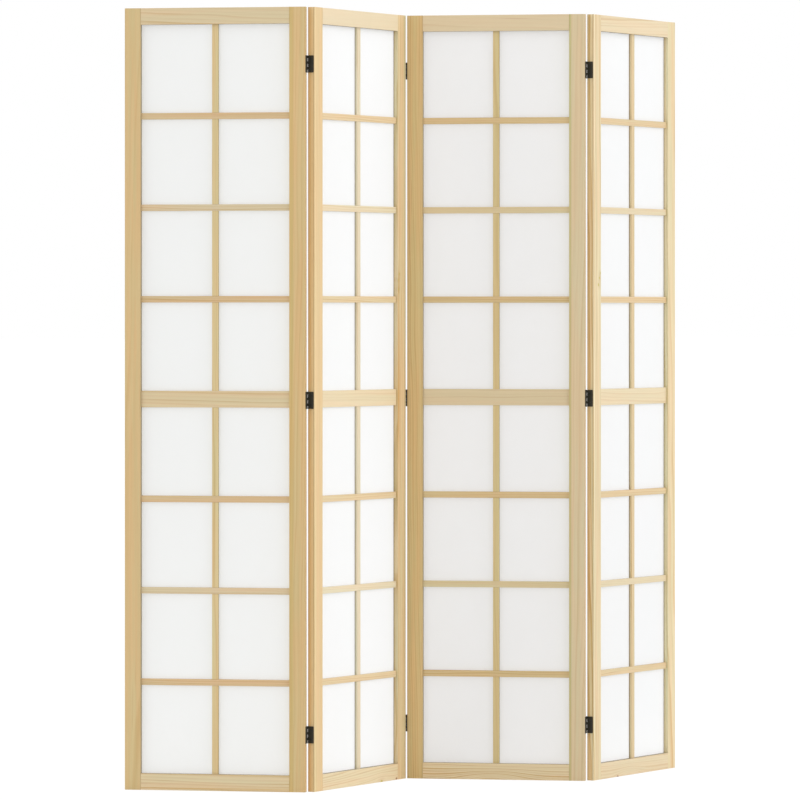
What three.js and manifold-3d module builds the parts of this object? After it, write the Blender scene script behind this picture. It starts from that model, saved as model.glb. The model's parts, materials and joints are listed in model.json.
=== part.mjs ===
// A four-panel shoji folding screen in pale pine with white paper panes and black butt hinges.
// Millimetres, +Z up. The front of every panel faces -Y, and the screen stands on z = 0 in an even
// zig-zag, so its first and third folds come towards the front and the middle one goes away from it.

import * as THREE from "three";
import { mergeVertices } from "three/addons/utils/BufferGeometryUtils.js";
import Module from "manifold-3d";

const wasm = await Module();
wasm.setup();

// ---- driving dimensions ----------------------------------------------------------------------

// The screen.
const PANEL_COUNT = 4;
const PANEL_WIDTH = 400;
const PANEL_HEIGHT = 1700;
const FOLD_ANGLE = 70.2; // degrees that each fold is turned from flat

// The frame of a panel.
const FRAME_THICKNESS = 16;
const STILE_WIDTH = 35.5;
const RAIL_HEIGHT = 36; // top and bottom rails
const EDGE_EASE = 0.5; // round along the outer edges of stiles and rails
const TENON_THICKNESS = 6;
const TENON_LENGTH = 22;
const TENON_SHOULDER = 7; // rail left above and below its tenon

// The lattice, with its wide middle rail.
const LATTICE_RECESS = 4.6; // from the frame's front face back to the lattice's front
const BAR_THICKNESS = 6.6;
const BAR_WIDTH = 14;
const BAR_PITCH = 199;
const BARS_PER_HALF = 3; // horizontal bars above, and again below, the middle rail
const MIDDLE_RAIL_HEIGHT = 36;
const BAR_EASE = 0.5;
const BAR_HOUSING = 5; // how deep a bar's end is let into the frame

// The paper, glued to the back of the lattice and into a rabbet round the frame.
const PAPER_THICKNESS = 0.4;
const PAPER_LAP = 5; // how far the paper runs onto the frame
const RABBET_MARGIN = 1; // rabbet left free round the paper's edge

// The hinges.
const HINGE_INSET = 123.5; // from a panel's end to the centre of the nearest hinge
const MIDDLE_HINGE_DROP = 2; // from the panel's half height down to the centre of the middle hinge
const LEAF_HEIGHT = 37;
const LEAF_THICKNESS = 0.8;
const LEAF_MARGIN = 1.5; // wood left bare between a leaf's long edge and the panel's far face
const LEAF_CORNER = 1.5; // radius of a leaf's free corners
const LEAF_GAP = 0.3; // between the two leaves of a hinge when the panels lie flat
const KNUCKLE_COUNT = 6; // shared by the two leaves in turn
const KNUCKLE_GAP = 0.3;
const BARREL_RADIUS = 1.35;
const BARREL_OFFSET = 1.1; // from the face of the panels out to the pin's axis
const PIN_RADIUS = 0.7;
const PIN_CLEARANCE = 0.12;
const PIN_HEAD_RADIUS = 1.15;
const PIN_HEAD_HEIGHT = 0.45;
const SCREW_SPACING = 21;
const SCREW_HOLE_RADIUS = 1.5;
const COUNTERSINK_RADIUS = 2.5;
const COUNTERSINK_DEPTH = 0.6;

// Clearances and facets.
const SEAT_GAP = 0.2; // between two pieces that are glued or screwed together
const OVERRUN = 1; // how far a cutter runs past the face that it opens
const EASE_SEGMENTS = 2;
const BARREL_SEGMENTS = 12;
const BORE_SEGMENTS = 8;
const PIN_SEGMENTS = 8;
const SCREW_HOLE_SEGMENTS = 10;

// ---- sizes worked out from them --------------------------------------------------------------

const latticeBack = LATTICE_RECESS + BAR_THICKNESS;
const lapPlane = LATTICE_RECESS + BAR_THICKNESS / 2;
const rabbetWidth = PAPER_LAP + RABBET_MARGIN;
const middleZ = PANEL_HEIGHT / 2;
const middleLow = middleZ - MIDDLE_RAIL_HEIGHT / 2;
const middleHigh = middleZ + MIDDLE_RAIL_HEIGHT / 2;
const topRailLow = PANEL_HEIGHT - RAIL_HEIGHT;
const stileInner = { left: STILE_WIDTH, right: PANEL_WIDTH - STILE_WIDTH };
const barLow = PANEL_WIDTH / 2 - BAR_WIDTH / 2;
const barHigh = PANEL_WIDTH / 2 + BAR_WIDTH / 2;

const leafSeat = LEAF_GAP / 2 + LEAF_THICKNESS; // from the pin's axis plane to a leaf's back
const edgeOffset = leafSeat + SEAT_GAP; // from the pin's axis to a panel's edge
const leafReach = BARREL_OFFSET + FRAME_THICKNESS - LEAF_MARGIN; // from the axis to a leaf's free edge
const knuckleSlot = LEAF_HEIGHT / KNUCKLE_COUNT;
const hingeHeights = {
  top: PANEL_HEIGHT - HINGE_INSET,
  middle: middleZ - MIDDLE_HINGE_DROP,
  bottom: HINGE_INSET,
};

// Heights of the horizontal bars' centres: an even run in the middle of each half's opening.
function barHeights() {
  const openings = [
    (RAIL_HEIGHT + middleLow) / 2,
    (middleHigh + topRailLow) / 2,
  ];
  return openings.flatMap((centre) =>
    Array.from(
      { length: BARS_PER_HALF },
      (_, i) => centre + (i - (BARS_PER_HALF - 1) / 2) * BAR_PITCH,
    ),
  );
}

// ---- materials -------------------------------------------------------------------------------

const pine = new THREE.MeshStandardMaterial({ color: 0xdfc597, roughness: 0.6, metalness: 0 });
const latticePine = new THREE.MeshStandardMaterial({ color: 0xd8bf8e, roughness: 0.6, metalness: 0 });
const paperWhite = new THREE.MeshStandardMaterial({ color: 0xf6f5f1, roughness: 0.9, metalness: 0 });
const blackSteel = new THREE.MeshStandardMaterial({ color: 0x2d2c2a, roughness: 0.45, metalness: 0.6 });

// ---- solids ----------------------------------------------------------------------------------

// A closed three.js geometry as a solid for cutting and joining.
function solidFrom(geometry) {
  const bare = geometry.clone();
  bare.deleteAttribute("normal");
  bare.deleteAttribute("uv");
  const merged = mergeVertices(bare, 1e-4);
  return new wasm.Manifold(
    new wasm.Mesh({
      numProp: 3,
      vertProperties: merged.attributes.position.array,
      triVerts: new Uint32Array(merged.index.array),
    }),
  );
}

// A solid as a geometry with flat faces.
function geometryFrom(solid) {
  const mesh = solid.getMesh();
  const geometry = new THREE.BufferGeometry();
  geometry.setAttribute("position", new THREE.BufferAttribute(mesh.vertProperties, 3));
  geometry.setIndex(new THREE.BufferAttribute(mesh.triVerts, 1));
  const flat = geometry.toNonIndexed();
  flat.computeVertexNormals();
  return flat;
}

function block(x0, x1, y0, y1, z0, z1) {
  const box = new THREE.BoxGeometry(x1 - x0, y1 - y0, z1 - z0);
  box.translate((x0 + x1) / 2, (y0 + y1) / 2, (z0 + z1) / 2);
  return solidFrom(box);
}

function joined(solids) {
  return solids.reduce((whole, piece) => whole.add(piece));
}

function cut(solid, cutters) {
  return cutters.reduce((whole, cutter) => whole.subtract(cutter), solid);
}

// A rectangle whose corners are rounded, each by its own radius, from the low corner on round.
function easedRectangle(x0, x1, y0, y1, [lowLow, highLow, highHigh, lowHigh]) {
  const quarter = Math.PI / 2;
  const corners = [
    [x0, y0, 1, 1, lowLow, -2],
    [x1, y0, -1, 1, highLow, -1],
    [x1, y1, -1, -1, highHigh, 0],
    [x0, y1, 1, -1, lowHigh, 1],
  ];
  const points = corners.flatMap(([x, y, inX, inY, radius, turn]) => {
    if (radius === 0) return [new THREE.Vector2(x, y)];
    return Array.from({ length: EASE_SEGMENTS + 1 }, (_, i) => {
      const angle = (turn + i / EASE_SEGMENTS) * quarter;
      return new THREE.Vector2(
        x + inX * radius + radius * Math.cos(angle),
        y + inY * radius + radius * Math.sin(angle),
      );
    });
  });
  return new THREE.Shape(points);
}

// A shape drawn in plan (x, y), run upwards from z0 to z1.
function runUp(shape, z0, z1) {
  const run = new THREE.ExtrudeGeometry(shape, {
    depth: z1 - z0,
    bevelEnabled: false,
    curveSegments: BARREL_SEGMENTS / 2,
  });
  run.translate(0, 0, z0);
  return solidFrom(run);
}

// A shape drawn in a panel's side view (y, z), run across from x0 to x1.
function runAcross(shape, x0, x1) {
  const run = new THREE.ExtrudeGeometry(shape, { depth: x1 - x0, bevelEnabled: false });
  const sideView = new THREE.Matrix4().makeBasis(
    new THREE.Vector3(0, 1, 0),
    new THREE.Vector3(0, 0, 1),
    new THREE.Vector3(1, 0, 0),
  );
  run.applyMatrix4(sideView);
  run.translate(x0, 0, 0);
  return solidFrom(run);
}

// ---- a panel's pieces: x along its width, y from its front face to its back --------------------

const tenonFront = (FRAME_THICKNESS - TENON_THICKNESS) / 2;
const tenonBack = (FRAME_THICKNESS + TENON_THICKNESS) / 2;

// A mortise for the tenon of a rail that starts at height railLow, mouth at stileInner.
function mortise(side, railLow) {
  const mouth = stileInner[side];
  const [x0, x1] =
    side === "left"
      ? [mouth - TENON_LENGTH - SEAT_GAP, mouth + OVERRUN]
      : [mouth - OVERRUN, mouth + TENON_LENGTH + SEAT_GAP];
  return block(
    x0,
    x1,
    tenonFront - SEAT_GAP,
    tenonBack + SEAT_GAP,
    railLow + TENON_SHOULDER - SEAT_GAP,
    railLow + RAIL_HEIGHT - TENON_SHOULDER + SEAT_GAP,
  );
}

// A notch, open at the back, for the end of a bar of the lattice or of the middle rail.
function stileNotch(side, z0, z1) {
  const mouth = stileInner[side];
  const [x0, x1] =
    side === "left" ? [mouth - BAR_HOUSING, mouth + OVERRUN] : [mouth - OVERRUN, mouth + BAR_HOUSING];
  return block(x0, x1, LATTICE_RECESS - SEAT_GAP, latticeBack + OVERRUN, z0 - SEAT_GAP, z1 + SEAT_GAP);
}

function stile(side) {
  const [x0, x1] = side === "left" ? [0, STILE_WIDTH] : [stileInner.right, PANEL_WIDTH];
  const section = easedRectangle(x0, x1, 0, FRAME_THICKNESS, [EDGE_EASE, EDGE_EASE, EDGE_EASE, EDGE_EASE]);
  const mouth = stileInner[side];
  const [r0, r1] =
    side === "left" ? [mouth - rabbetWidth, mouth + OVERRUN] : [mouth - OVERRUN, mouth + rabbetWidth];
  const rabbet = block(
    r0,
    r1,
    latticeBack,
    FRAME_THICKNESS + OVERRUN,
    RAIL_HEIGHT - rabbetWidth,
    topRailLow + rabbetWidth,
  );
  const notches = barHeights().map((z) => stileNotch(side, z - BAR_WIDTH / 2, z + BAR_WIDTH / 2));
  return cut(runUp(section, 0, PANEL_HEIGHT), [
    rabbet,
    mortise(side, 0),
    mortise(side, topRailLow),
    stileNotch(side, middleLow, middleHigh),
    ...notches,
  ]);
}

// A top or bottom rail between the stiles, tenoned into both, rabbeted for the paper along the
// edge that faces the lattice, with a notch there for the upright bar's end.
function rail(end) {
  const [z0, z1] = end === "bottom" ? [0, RAIL_HEIGHT] : [topRailLow, PANEL_HEIGHT];
  const inner = end === "bottom" ? z1 : z0;
  const inwards = end === "bottom" ? -1 : 1;
  const span = (depth) => [inner + inwards * depth, inner - inwards * OVERRUN].sort((a, b) => a - b);
  const [rabbetLow, rabbetHigh] = span(rabbetWidth);
  const [notchLow, notchHigh] = span(BAR_HOUSING);
  const section = easedRectangle(0, FRAME_THICKNESS, z0, z1, [EDGE_EASE, EDGE_EASE, EDGE_EASE, EDGE_EASE]);
  const body = runAcross(section, stileInner.left + SEAT_GAP, stileInner.right - SEAT_GAP);
  const tenons = block(
    stileInner.left - TENON_LENGTH,
    stileInner.right + TENON_LENGTH,
    tenonFront,
    tenonBack,
    z0 + TENON_SHOULDER,
    z1 - TENON_SHOULDER,
  );
  const rabbet = block(0, PANEL_WIDTH, latticeBack, FRAME_THICKNESS + OVERRUN, rabbetLow, rabbetHigh);
  const notch = block(
    barLow - SEAT_GAP,
    barHigh + SEAT_GAP,
    LATTICE_RECESS - SEAT_GAP,
    latticeBack + OVERRUN,
    notchLow,
    notchHigh,
  );
  return cut(joined([body, tenons]), [rabbet, notch]);
}

// Section of a lattice member across its length, in its own width direction and the panel's depth.
function memberSection(low, high, widthFirst) {
  const ease = BAR_EASE;
  if (widthFirst) return easedRectangle(low, high, LATTICE_RECESS, latticeBack, [ease, ease, 0, 0]);
  return easedRectangle(LATTICE_RECESS, latticeBack, low, high, [ease, 0, 0, ease]);
}

function acrossMember(z0, z1) {
  return runAcross(
    memberSection(z0, z1, false),
    stileInner.left - BAR_HOUSING + SEAT_GAP,
    stileInner.right + BAR_HOUSING - SEAT_GAP,
  );
}

// The wide middle rail, lapped over the upright bar.
function middleRail() {
  const lap = block(
    barLow - SEAT_GAP,
    barHigh + SEAT_GAP,
    lapPlane - SEAT_GAP / 2,
    latticeBack + OVERRUN,
    middleLow - OVERRUN,
    middleHigh + OVERRUN,
  );
  return cut(acrossMember(middleLow, middleHigh), [lap]);
}

// The upright bar and the horizontal bars, half-lapped and glued into one grid. Every horizontal
// lies over the upright, whose front half is cut away there and under the middle rail.
function lattice() {
  const upright = runUp(
    memberSection(barLow, barHigh, true),
    RAIL_HEIGHT - BAR_HOUSING + SEAT_GAP,
    topRailLow + BAR_HOUSING - SEAT_GAP,
  );
  const lap = (low, high, plane) =>
    block(barLow - OVERRUN, barHigh + OVERRUN, LATTICE_RECESS - OVERRUN, plane, low, high);
  const bars = barHeights().map((z) => [z - BAR_WIDTH / 2, z + BAR_WIDTH / 2]);
  const laps = bars.map(([low, high]) => lap(low, high, lapPlane));
  const railLap = lap(middleLow - SEAT_GAP, middleHigh + SEAT_GAP, lapPlane + SEAT_GAP / 2);
  return joined([cut(upright, [railLap, ...laps]), ...bars.map(([low, high]) => acrossMember(low, high))]);
}

function paper() {
  const sheet = easedRectangle(
    stileInner.left - PAPER_LAP,
    stileInner.right + PAPER_LAP,
    latticeBack + SEAT_GAP,
    latticeBack + SEAT_GAP + PAPER_THICKNESS,
    [0, 0, 0, 0],
  );
  return runUp(sheet, RAIL_HEIGHT - PAPER_LAP, topRailLow + PAPER_LAP);
}

// ---- a hinge: the pin's axis is z, the leaf's wood lies towards +x, the leaf runs along +y ------

// Section of a knuckle: the barrel's ring with the neck that joins it to the leaf.
function knuckleSection(neckEnd) {
  const front = LEAF_GAP / 2;
  const start = Math.acos(leafSeat / BARREL_RADIUS);
  const end = Math.acos(front / BARREL_RADIUS);
  const section = new THREE.Shape();
  section.moveTo(leafSeat, neckEnd);
  section.absarc(0, 0, BARREL_RADIUS, start, end, true);
  section.lineTo(front, neckEnd);
  section.closePath();
  section.holes.push(new THREE.Path(boreOutline()));
  return section;
}

// The bore as a polygon whose flats, not its corners, stand off the pin by the clearance.
function boreOutline() {
  const radius = (PIN_RADIUS + PIN_CLEARANCE) / Math.cos(Math.PI / BORE_SEGMENTS);
  return Array.from({ length: BORE_SEGMENTS }, (_, i) => {
    const angle = (2 * Math.PI * i) / BORE_SEGMENTS;
    return new THREE.Vector2(radius * Math.cos(angle), radius * Math.sin(angle));
  });
}

// A countersunk screw hole, open on the leaf's front and back.
function screwHole(y, z) {
  const slope = (COUNTERSINK_RADIUS - SCREW_HOLE_RADIUS) / COUNTERSINK_DEPTH;
  const profile = [
    new THREE.Vector2(0, -OVERRUN),
    new THREE.Vector2(COUNTERSINK_RADIUS + slope * OVERRUN, -OVERRUN),
    new THREE.Vector2(SCREW_HOLE_RADIUS, COUNTERSINK_DEPTH),
    new THREE.Vector2(SCREW_HOLE_RADIUS, LEAF_THICKNESS + OVERRUN),
    new THREE.Vector2(0, LEAF_THICKNESS + OVERRUN),
  ];
  const hole = new THREE.LatheGeometry(profile, SCREW_HOLE_SEGMENTS);
  hole.rotateZ(-Math.PI / 2);
  hole.translate(LEAF_GAP / 2, y, z);
  return solidFrom(hole);
}

// One of the two like leaves of a hinge. It owns every second knuckle from the bottom, and stands
// clear of the barrel where the other leaf's knuckles come.
function leaf() {
  const neck = BARREL_RADIUS + KNUCKLE_GAP;
  const bottom = -LEAF_HEIGHT / 2;
  const outline = easedRectangle(neck, leafReach, bottom, -bottom, [0, LEAF_CORNER, LEAF_CORNER, 0]);
  const plate = runAcross(outline, LEAF_GAP / 2, leafSeat);
  const owned = Array.from({ length: Math.ceil(KNUCKLE_COUNT / 2) }, (_, i) => bottom + 2 * i * knuckleSlot);
  const section = knuckleSection(neck + OVERRUN);
  const knuckles = owned.map((z) =>
    runUp(section, z + KNUCKLE_GAP / 2, z + knuckleSlot - KNUCKLE_GAP / 2),
  );
  const holeY = (neck + leafReach) / 2;
  const holes = [-SCREW_SPACING / 2, SCREW_SPACING / 2].map((z) => screwHole(holeY, z));
  return cut(joined([plate, ...knuckles]), holes);
}

// The pin, peened over at both ends.
function pin() {
  const shoulder = LEAF_HEIGHT / 2;
  const tip = shoulder + PIN_HEAD_HEIGHT;
  const crown = PIN_HEAD_RADIUS - PIN_HEAD_HEIGHT;
  const profile = [
    new THREE.Vector2(0, -tip),
    new THREE.Vector2(crown, -tip),
    new THREE.Vector2(PIN_HEAD_RADIUS, -shoulder),
    new THREE.Vector2(PIN_RADIUS, -shoulder),
    new THREE.Vector2(PIN_RADIUS, shoulder),
    new THREE.Vector2(PIN_HEAD_RADIUS, shoulder),
    new THREE.Vector2(crown, tip),
    new THREE.Vector2(0, tip),
  ];
  const turned = new THREE.LatheGeometry(profile, PIN_SEGMENTS);
  turned.rotateX(Math.PI / 2);
  return solidFrom(turned);
}

// ---- assembly --------------------------------------------------------------------------------

const halfTurn = Math.PI;
const restAngle = THREE.MathUtils.degToRad(FOLD_ANGLE / 2);

const shared = {
  stile_left: geometryFrom(stile("left")),
  stile_right: geometryFrom(stile("right")),
  top_rail: geometryFrom(rail("top")),
  bottom_rail: geometryFrom(rail("bottom")),
  middle_rail: geometryFrom(middleRail()),
  lattice: geometryFrom(lattice()),
  paper: geometryFrom(paper()),
};
const finishes = {
  stile_left: pine,
  stile_right: pine,
  top_rail: pine,
  bottom_rail: pine,
  middle_rail: latticePine,
  lattice: latticePine,
  paper: paperWhite,
};
const leafGeometry = geometryFrom(leaf());
const pinGeometry = geometryFrom(pin());

// The barrels of odd folds lie behind the panels and those of even folds in front of them.
function barrelIsBehind(fold) {
  return fold % 2 === 1;
}

// The pin's axis of a fold in the plan of one of its two panels.
function foldAxis(fold, panelSide) {
  return new THREE.Vector2(
    panelSide === "left" ? PANEL_WIDTH + edgeOffset : -edgeOffset,
    barrelIsBehind(fold) ? FRAME_THICKNESS + BARREL_OFFSET : -BARREL_OFFSET,
  );
}

// A leaf screwed to the edge of the panel on one side of a fold, half a turn about x, y or z from
// the leaf as it is drawn, so that its knuckles fall between those of the leaf across from it.
function hingeLeaf(fold, panelSide, level) {
  const mesh = new THREE.Mesh(leafGeometry, blackSteel);
  const panel = panelSide === "left" ? fold : fold + 1;
  mesh.name = `hinge_${fold}${fold + 1}_${level}_leaf_${panel}`;
  const axis = foldAxis(fold, panelSide);
  mesh.position.set(axis.x, axis.y, hingeHeights[level]);
  if (barrelIsBehind(fold)) {
    if (panelSide === "left") mesh.rotation.z = halfTurn;
    else mesh.rotation.x = halfTurn;
  } else if (panelSide === "left") {
    mesh.rotation.y = halfTurn;
  }
  return mesh;
}

function hingePin(fold, level) {
  const mesh = new THREE.Mesh(pinGeometry, blackSteel);
  mesh.name = `hinge_${fold}${fold + 1}_${level}_pin`;
  const axis = foldAxis(fold, "left");
  mesh.position.set(axis.x, axis.y, hingeHeights[level]);
  return mesh;
}

// One panel with the hinge leaves on its edges. A fold's pins go with the panel on its left.
function panel(number) {
  const group = new THREE.Group();
  for (const [piece, geometry] of Object.entries(shared)) {
    const mesh = new THREE.Mesh(geometry, finishes[piece]);
    mesh.name = `panel_${number}_${piece}`;
    group.add(mesh);
  }
  for (const level of Object.keys(hingeHeights)) {
    if (number > 1) group.add(hingeLeaf(number - 1, "right", level));
    if (number < PANEL_COUNT) {
      group.add(hingeLeaf(number, "left", level));
      group.add(hingePin(number, level));
    }
  }
  return group;
}

// The panels stand side by side from -X to +X, each turned about the pins that it shares with the
// one before it.
const screen = new THREE.Group();
const corner = new THREE.Vector2(0, 0);
for (let number = 1; number <= PANEL_COUNT; number += 1) {
  const turn = number % 2 === 1 ? -restAngle : restAngle;
  const origin = new THREE.Vector2(0, 0);
  if (number > 1) corner.sub(foldAxis(number - 1, "right").rotateAround(origin, turn));
  const standing = panel(number);
  standing.position.set(corner.x, corner.y, 0);
  standing.rotation.z = turn;
  screen.add(standing);
  if (number < PANEL_COUNT) corner.add(foldAxis(number, "left").rotateAround(origin, turn));
}

// The middle of the footprint goes to the origin.
const footprint = new THREE.Box3().setFromObject(screen, true).getCenter(new THREE.Vector3());
screen.position.set(-footprint.x, -footprint.y, 0);

export default screen;
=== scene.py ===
import json
import math
from typing import NamedTuple

import bmesh
import bpy
from mathutils import Matrix, Vector, noise


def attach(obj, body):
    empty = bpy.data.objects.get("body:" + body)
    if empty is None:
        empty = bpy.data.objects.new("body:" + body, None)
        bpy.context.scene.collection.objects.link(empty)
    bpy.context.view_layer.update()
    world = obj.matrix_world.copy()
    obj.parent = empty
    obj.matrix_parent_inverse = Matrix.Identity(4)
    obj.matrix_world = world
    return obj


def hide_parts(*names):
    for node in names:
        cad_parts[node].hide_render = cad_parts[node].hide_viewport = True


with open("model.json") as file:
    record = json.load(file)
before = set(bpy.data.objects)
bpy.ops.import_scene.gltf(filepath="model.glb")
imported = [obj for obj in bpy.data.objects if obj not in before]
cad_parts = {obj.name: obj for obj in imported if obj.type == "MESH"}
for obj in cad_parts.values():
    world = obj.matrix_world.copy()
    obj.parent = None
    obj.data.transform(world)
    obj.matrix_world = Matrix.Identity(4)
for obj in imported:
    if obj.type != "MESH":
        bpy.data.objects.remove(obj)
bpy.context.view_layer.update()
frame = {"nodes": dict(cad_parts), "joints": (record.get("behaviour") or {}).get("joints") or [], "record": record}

# A four-panel shoji folding screen: pine frames and lattices, white paper panes, black butt hinges.
#
# Each panel has its own frame: x runs along its width from its middle, y from front to back from
# the middle of its thickness, and z up from the floor. Sizes are in millimetres there, and the
# wood's and the paper's materials lay out their patterns in it.

MM = 0.001

# ---- driving dimensions --------------------------------------------------------------------------

PANELS = (1, 2, 3, 4)
FOLD_ANGLE = math.radians(frame["joints"][0]["range_deg"][1])  # from rest to flat
PANEL_HEIGHT = 1700
PANEL_HALF_WIDTH = 200
INNER_HALF_WIDTH = 164.5  # from a panel's middle to its stiles
INNER_HALF_HEIGHT = 814  # from a panel's middle to its top and bottom rails
FRAME_FRONT = -8  # y of the front faces
LATTICE_FRONT = -3.4
PAPER_FACE = 3.4
MIDDLE_RAIL = (832, 868)
BAR_WIDTH = 14
BAR_PITCH = 199
BARS_IN_HALF = 3
BAR_HEIGHTS = (235, 434, 633, 1067, 1266, 1465)
LAP_MARGIN = 0.02  # round the laps of the bars, where materials change
BAR_SHIFT_ALONG = 431  # between the figures of bars that are one pitch apart
BAR_SHIFT_ACROSS = 61

PAPER_LAP = 5  # of a sheet behind the frame, all round
PAPER_BILLOW = 0.55  # how far a pane swells backwards between the bars
PAPER_COCKLE = 0.12
PAPER_STEP = 10  # between the points of a sheet
SHARP_ANGLE = math.radians(35)
SLOW_COCKLE = (90, 140)  # wavelengths across and up
QUICK_COCKLE = (24, 70)

LEAF_THICKNESS = 0.8
BARREL_RADIUS = 1.35
KNUCKLE_GAP = 0.3
SEAT_GAP = 0.2
SCREW_SPACING = 21
SCREW_HEAD_RADIUS = 2.35
SCREW_HEAD_DEPTH = 0.6
SCREW_HEAD_EDGE = 0.12  # how far the head's corner is rounded off
SCREW_SHANK_RADIUS = 1.3
SCREW_SHANK_TAPER = 0.85
SCREW_LENGTH = 9
SCREW_POINT = 2
SCREW_SINK = 0.04  # head below the leaf's face
SCREW_SEGMENTS = 28
CROSS_REACH = 1.35  # half of the driver cross, across its arms
CROSS_ARM = 0.34  # half of an arm's width
CROSS_DEPTH = 0.5
CROSS_TAPER = 0.62
SPIN_STEP = 0.131

# ---- colours: sRGB, 0 to 255, as they look in plain light ----------------------------------------

KNOT_WOOD = (150, 98, 48)
KNOT_BARK = (84, 50, 26)
OLIVE_KNOT = (208, 192, 96)
RESIN = (203, 139, 72)
PAPER_WHITE = (250, 251, 252)
BLACK_PAINT = (61, 58, 48)
# Grey steel where the paint is scuffed off, and the painted highlight on the knuckles
STEEL_WEAR_AND_GLINT = (158, 154, 149)
SCREW_BLACK = (48, 47, 43)
FLOOR_GREY = (231, 231, 231)


def linear(colour):
    """An sRGB colour as the linear red, green, blue and alpha that shaders take."""
    parts = [part / 255 for part in colour]
    return [p / 12.92 if p <= 0.04045 else ((p + 0.055) / 1.055) ** 2.4 for p in parts] + [1.0]


def shaded(colour, factors):
    """A linear colour with its red, green and blue multiplied."""
    return [part * factor for part, factor in zip(colour[:3], factors)] + [1.0]


# ---- where the panels stand ----------------------------------------------------------------------


def panel_place(number):
    """The matrix from a panel's own frame, in metres, to the row's."""
    mounts = {mount["name"]: mount for mount in frame["record"]["mounts"]}
    centre = Vector(mounts[f"floor_panel_{number}"]["pos_m"])
    turn = FOLD_ANGLE / 2 * (-1 if number % 2 else 1)
    return Matrix.Translation(centre) @ Matrix.Rotation(turn, 4, "Z")


PLACE = {number: panel_place(number) for number in PANELS}


def box_in_panel(node, number):
    """Lowest and highest corner of a CAD node in its panel's frame, in millimetres."""
    back = PLACE[number].inverted()
    points = [back @ vertex.co / MM for vertex in frame["nodes"][node].data.vertices]
    low = Vector([min(p[i] for p in points) for i in range(3)])
    high = Vector([max(p[i] for p in points) for i in range(3)])
    return low, high


# ---- shader helper -------------------------------------------------------------------------------


def shifted(pair, by):
    """A pair of places, moved."""
    return [place + by for place in pair]


class Net:
    """Adds nodes to one shader tree. A value is a number, a colour, a vector or a socket."""

    def __init__(self, tree):
        self.tree = tree

    def put(self, socket, value):
        if isinstance(value, bpy.types.NodeSocket):
            self.tree.links.new(value, socket)
        else:
            socket.default_value = value

    def add(self, kind, inputs=None, **settings):
        node = self.tree.nodes.new(kind)
        for name, value in settings.items():
            setattr(node, name, value)
        for name, value in (inputs or {}).items():
            self.put(node.inputs[name], value)
        return node

    def math(self, operation, *values):
        inputs = dict(enumerate(values))
        return self.add("ShaderNodeMath", inputs, operation=operation).outputs[0]

    def total(self, first, *others):
        for value in others:
            first = self.math("ADD", first, value)
        return first

    def product(self, first, *others):
        for value in others:
            first = self.math("MULTIPLY", first, value)
        return first

    def vector_math(self, operation, *values):
        inputs = dict(enumerate(values))
        return self.add("ShaderNodeVectorMath", inputs, operation=operation).outputs

    def vector(self, operation, *values):
        return self.vector_math(operation, *values)["Vector"]

    def dot(self, a, b):
        return self.vector_math("DOT_PRODUCT", a, b)["Value"]

    def length(self, vector):
        return self.vector_math("LENGTH", vector)["Value"]

    def bell(self, value, centre, reach):
        """1 at the centre, falling away smoothly over about the reach on both sides."""
        away = self.math("DIVIDE", self.math("SUBTRACT", value, centre), reach)
        return self.math("EXPONENT", self.product(away, away, -1.0))

    def times(self, colour, factors, amount=1.0):
        """The colour multiplied by red, green and blue factors, by an amount from 0 to 1."""
        return self.mix(amount, colour, self.mix(1.0, colour, (*factors, 1), "MULTIPLY"))

    def split(self, vector):
        return self.add("ShaderNodeSeparateXYZ", {0: vector}).outputs[:]

    def join(self, x, y, z):
        return self.add("ShaderNodeCombineXYZ", {0: x, 1: y, 2: z}).outputs[0]

    def noise(self, vector, seed, detail=2.0, roughness=0.5):
        inputs = {"Vector": vector, "W": seed, "Scale": 1.0}
        inputs |= {"Detail": detail, "Roughness": roughness}
        return self.add("ShaderNodeTexNoise", inputs, noise_dimensions="4D").outputs[0]

    def between(self, value, low, high, to_low=0.0, to_high=1.0, smooth=True):
        """The value carried from low..high to to_low..to_high, and held at the ends."""
        kind = "SMOOTHSTEP" if smooth else "LINEAR"
        inputs = {0: value, 1: low, 2: high, 3: to_low, 4: to_high}
        return self.add("ShaderNodeMapRange", inputs, interpolation_type=kind).outputs[0]

    def mix(self, factor, a, b, blend="MIX"):
        """Colour a where the factor is 0 and b, or a blended with b, where it is 1."""
        inputs = {0: factor, 6: a, 7: b}
        return self.add("ShaderNodeMix", inputs, data_type="RGBA", blend_type=blend).outputs[2]

    def either(self, factor, a, b):
        """Vector a where the factor is 0 and b where it is 1."""
        inputs = {0: factor, 4: a, 5: b}
        return self.add("ShaderNodeMix", inputs, data_type="VECTOR").outputs[1]

    def ramp(self, value, *stops):
        """A grey ramp through stops of (place, level)."""
        node = self.add("ShaderNodeValToRGB", {0: value})
        elements = node.color_ramp.elements
        for _ in stops[len(elements):]:
            elements.new(0.5)
        for element, (place, level) in zip(elements, stops):
            element.position = place
            element.color = (level, level, level, 1)
        return node.outputs[0]


def new_material(name):
    """A material with an empty tree but for its output, as (material, net, output node)."""
    material = bpy.data.materials.new(name)
    material.use_nodes = True
    material.node_tree.nodes.clear()
    net = Net(material.node_tree)
    return material, net, net.add("ShaderNodeOutputMaterial")


def panel_point(net, number):
    """The shaded point in the panel's own frame, in millimetres."""
    place = PLACE[number]
    inputs = {
        "Vector": net.add("ShaderNodeTexCoord").outputs["Object"],
        "Location": place.translation,
        "Rotation": place.to_euler(),
        "Scale": (MM, MM, MM),
    }
    return net.add("ShaderNodeMapping", inputs, vector_type="TEXTURE").outputs[0]


def bumped(net, height, depth_mm):
    """The surface's normal with a relief that is this deep where the height goes from 0 to 1."""
    inputs = {"Height": height, "Distance": depth_mm * MM, "Strength": 1.0}
    return net.add("ShaderNodeBump", inputs).outputs[0]


# ---- pine ----------------------------------------------------------------------------------------

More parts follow.
